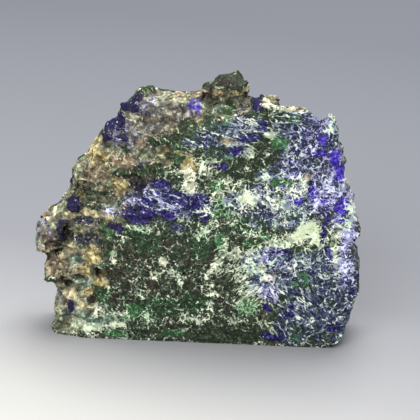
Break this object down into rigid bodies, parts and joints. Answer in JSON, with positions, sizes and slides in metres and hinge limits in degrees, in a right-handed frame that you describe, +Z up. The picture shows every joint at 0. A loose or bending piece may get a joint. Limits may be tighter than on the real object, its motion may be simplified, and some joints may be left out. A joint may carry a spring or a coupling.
{
  "type": "azurite-malachite slice",
  "caption": "Upright sawn slice of azurite and malachite with flat faces and a broken natural rim, topped by a dark knob.",
  "frame": {"origin": "middle of the bounding box's underside, on the sawn bottom edge that the slice stands on", "axes": "+X to the right seen from the front, along the slice's width; +Y away from the front, through its thickness; +Z up"},
  "size_m": [0.0762, 0.0126, 0.0636],
  "materials": {
    "ore": "satin sawn faces, rough natural rim"
  },
  "bodies": {
    "root": {"azurite_malachite_slice": "ore"}
  },
  "joints": []
}
